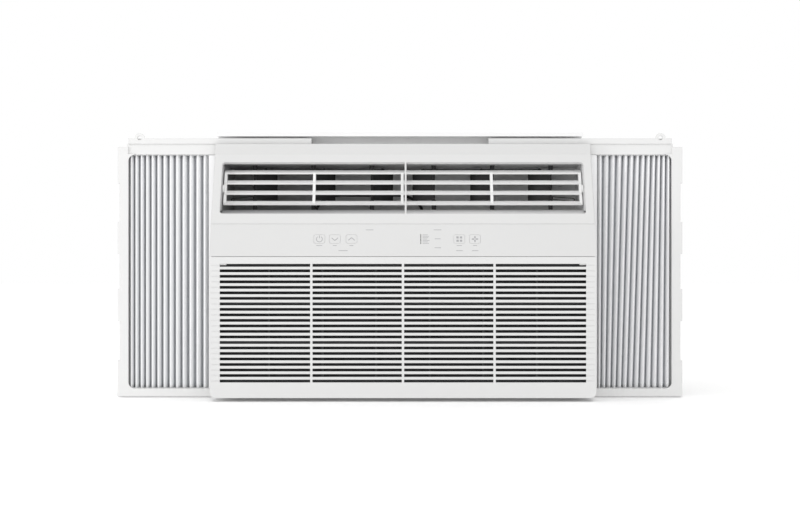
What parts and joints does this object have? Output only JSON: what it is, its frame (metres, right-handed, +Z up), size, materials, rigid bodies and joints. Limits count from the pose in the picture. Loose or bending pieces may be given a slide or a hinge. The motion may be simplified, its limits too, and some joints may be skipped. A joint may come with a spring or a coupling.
{
  "type": "window air conditioner",
  "caption": "White through-the-window room air conditioner with slatted intake grille, slanted louvred outlet and pleated side curtains.",
  "frame": {"origin": "at sill level, under the middle of the window kit, centre of the whole assembly seen from above", "axes": "+X right seen from the room, along the window; +Y outdoors; +Z up"},
  "size_m": [0.9056, 0.564, 0.4242],
  "materials": {
    "panel_plastic": "satin moulded ABS, warm white",
    "fascia_plastic": "satin white overlay with grey printed icons",
    "grille_plastic": "satin moulded ABS, warm white",
    "louvre_plastic": "satin moulded ABS, white",
    "key_plastic": "satin white, flush",
    "filter_frame": "matt grey",
    "filter_mesh": "fine woven nylon mesh",
    "duct_plastic": "matt grey",
    "vane_plastic": "black",
    "circuit_board": "solder resist",
    "rail_steel": "grey-white paint",
    "curtain_plastic": "satin white",
    "bellows_vinyl": "pleated vinyl, cool white",
    "strip_plastic": "satin white",
    "cabinet_paint": "powder coat, light",
    "galvanised_steel": "galvanised",
    "guard_plastic": "moulded guard",
    "black_rubber": "black rubber",
    "zinc_screw": "zinc plated",
    "fin_aluminium": "bare fins",
    "copper": "copper",
    "foam_tray": "moulded foam and plastic",
    "fan_plastic": "dark moulded plastic",
    "motor_paint": "dark grey",
    "ground_steel": "ground steel",
    "compressor_paint": "black paint",
    "capacitor_can": "drawn can"
  },
  "bodies": {
    "root": {"base_pan": "galvanised_steel", "bellows_left": "bellows_vinyl", "bellows_right": "bellows_vinyl", "bellows_strip_left": "strip_plastic", "bellows_strip_right": "strip_plastic", "blower_orifice": "foam_tray", "blower_scroll": "foam_tray", "bottom_rail": "rail_steel", "bulkhead": "galvanised_steel", "cabinet_side_left": "cabinet_paint", "cabinet_side_right": "cabinet_paint", "cabinet_top_sheet": "cabinet_paint", "capillary_tube": "copper", "compressor": "compressor_paint", "compressor_grommets": "black_rubber", "compressor_studs": "zinc_screw", "condenser_coil": "fin_aluminium", "condenser_tubes": "copper", "control_box": "duct_plastic", "control_fascia": "fascia_plastic", "cord_gland": "black_rubber", "discharge_duct": "duct_plastic", "discharge_pipe": "copper", "display_board": "circuit_board", "drain_tray": "foam_tray", "evaporator_coil": "fin_aluminium", "evaporator_tubes": "copper", "fan_motor": "motor_paint", "fan_shroud": "fan_plastic", "front_panel": "panel_plastic", "main_board": "circuit_board", "motor_bracket": "galvanised_steel", "rear_guard": "guard_plastic", "run_capacitor": "capacitor_can", "sheet_screws": "zinc_screw", "suction_pipe": "copper", "thermistor": "copper", "top_rail": "rail_steel"},
    "door": {"intake_grille": "grille_plastic", "air_filter": "filter_frame", "filter_mesh": "filter_mesh"},
    "louvre": {"louvre_frame": "louvre_plastic"},
    "vane_left_1": {"vane_left_1": "vane_plastic"},
    "vane_left_2": {"vane_left_2": "vane_plastic"},
    "vane_left_3": {"vane_left_3": "vane_plastic"},
    "vane_link_left": {"vane_link_left": "vane_plastic"},
    "vane_right_1": {"vane_right_1": "vane_plastic"},
    "vane_right_2": {"vane_right_2": "vane_plastic"},
    "vane_right_3": {"vane_right_3": "vane_plastic"},
    "vane_link_right": {"vane_link_right": "vane_plastic"},
    "key_power": {"key_power": "key_plastic"},
    "key_temp_down": {"key_temp_down": "key_plastic"},
    "key_temp_up": {"key_temp_up": "key_plastic"},
    "key_mode": {"key_mode": "key_plastic"},
    "key_fan": {"key_fan": "key_plastic"},
    "rotor": {"motor_shaft": "ground_steel", "blower_wheel": "fan_plastic", "condenser_fan": "fan_plastic"},
    "curtain_left": {"curtain_frame_left": "curtain_plastic"},
    "curtain_right": {"curtain_frame_right": "curtain_plastic"}
  },
  "joints": [
    {"name": "grille_open", "type": "hinge", "parent": "root", "child": "door", "pos_m": [0.0046, -0.272, 0.012], "axis": [1, 0, 0], "range_deg": [0, 75]},
    {"name": "louvre_tilt", "type": "hinge", "parent": "root", "child": "louvre", "pos_m": [0.0046, -0.22754, 0.33327], "axis": [1, 0, 0], "range_deg": [-13, 13]},
    {"name": "vane_left_1_turn", "type": "hinge", "parent": "root", "child": "vane_left_1", "pos_m": [-0.2357, -0.172, 0.342], "axis": [0, 0, 1], "range_deg": [0, 85]},
    {"name": "vane_left_2_turn", "type": "hinge", "parent": "root", "child": "vane_left_2", "pos_m": [-0.1407, -0.172, 0.342], "axis": [0, 0, 1], "range_deg": [0, 85]},
    {"name": "vane_left_3_turn", "type": "hinge", "parent": "root", "child": "vane_left_3", "pos_m": [-0.0457, -0.172, 0.342], "axis": [0, 0, 1], "range_deg": [0, 85]},
    {"name": "vane_link_left_turn", "type": "hinge", "parent": "vane_left_1", "child": "vane_link_left", "pos_m": [-0.21885, -0.15786, 0.368], "axis": [0, 0, 1], "range_deg": [-85, 0]},
    {"name": "vane_right_1_turn", "type": "hinge", "parent": "root", "child": "vane_right_1", "pos_m": [0.2449, -0.172, 0.342], "axis": [0, 0, -1], "range_deg": [0, 85]},
    {"name": "vane_right_2_turn", "type": "hinge", "parent": "root", "child": "vane_right_2", "pos_m": [0.1499, -0.172, 0.342], "axis": [0, 0, -1], "range_deg": [0, 85]},
    {"name": "vane_right_3_turn", "type": "hinge", "parent": "root", "child": "vane_right_3", "pos_m": [0.0549, -0.172, 0.342], "axis": [0, 0, -1], "range_deg": [0, 85]},
    {"name": "vane_link_right_turn", "type": "hinge", "parent": "vane_right_1", "child": "vane_link_right", "pos_m": [0.22805, -0.15786, 0.368], "axis": [0, 0, -1], "range_deg": [-85, 0]},
    {"name": "key_power_press", "type": "slide", "parent": "root", "child": "key_power", "axis": [0, 0.9531, -0.3026], "range_m": [0, 0.0008], "stiffness_N_per_m": 400},
    {"name": "key_temp_down_press", "type": "slide", "parent": "root", "child": "key_temp_down", "axis": [0, 0.9531, -0.3026], "range_m": [0, 0.0008], "stiffness_N_per_m": 400},
    {"name": "key_temp_up_press", "type": "slide", "parent": "root", "child": "key_temp_up", "axis": [0, 0.9531, -0.3026], "range_m": [0, 0.0008], "stiffness_N_per_m": 400},
    {"name": "key_mode_press", "type": "slide", "parent": "root", "child": "key_mode", "axis": [0, 0.9531, -0.3026], "range_m": [0, 0.0008], "stiffness_N_per_m": 400},
    {"name": "key_fan_press", "type": "slide", "parent": "root", "child": "key_fan", "axis": [0, 0.9531, -0.3026], "range_m": [0, 0.0008], "stiffness_N_per_m": 400},
    {"name": "rotor_spin", "type": "hinge", "parent": "root", "child": "rotor", "pos_m": [-0.0454, 0, 0.172], "axis": [0, 1, 0], "continuous": true},
    {"name": "curtain_left_slide", "type": "slide", "parent": "root", "child": "curtain_left", "axis": [-1, 0, 0], "range_m": [-0.076, 0.04], "deforming": ["bellows_left"]},
    {"name": "curtain_right_slide", "type": "slide", "parent": "root", "child": "curtain_right", "axis": [1, 0, 0], "range_m": [-0.076, 0.04], "deforming": ["bellows_right"]}
  ],
  "couplings": [
    {"joint": "vane_left_2_turn", "follows": "vane_left_1_turn", "ratio": 1},
    {"joint": "vane_left_3_turn", "follows": "vane_left_1_turn", "ratio": 1},
    {"joint": "vane_link_left_turn", "follows": "vane_left_1_turn", "ratio": -1},
    {"joint": "vane_right_2_turn", "follows": "vane_right_1_turn", "ratio": 1},
    {"joint": "vane_right_3_turn", "follows": "vane_right_1_turn", "ratio": 1},
    {"joint": "vane_link_right_turn", "follows": "vane_right_1_turn", "ratio": -1}
  ]
}
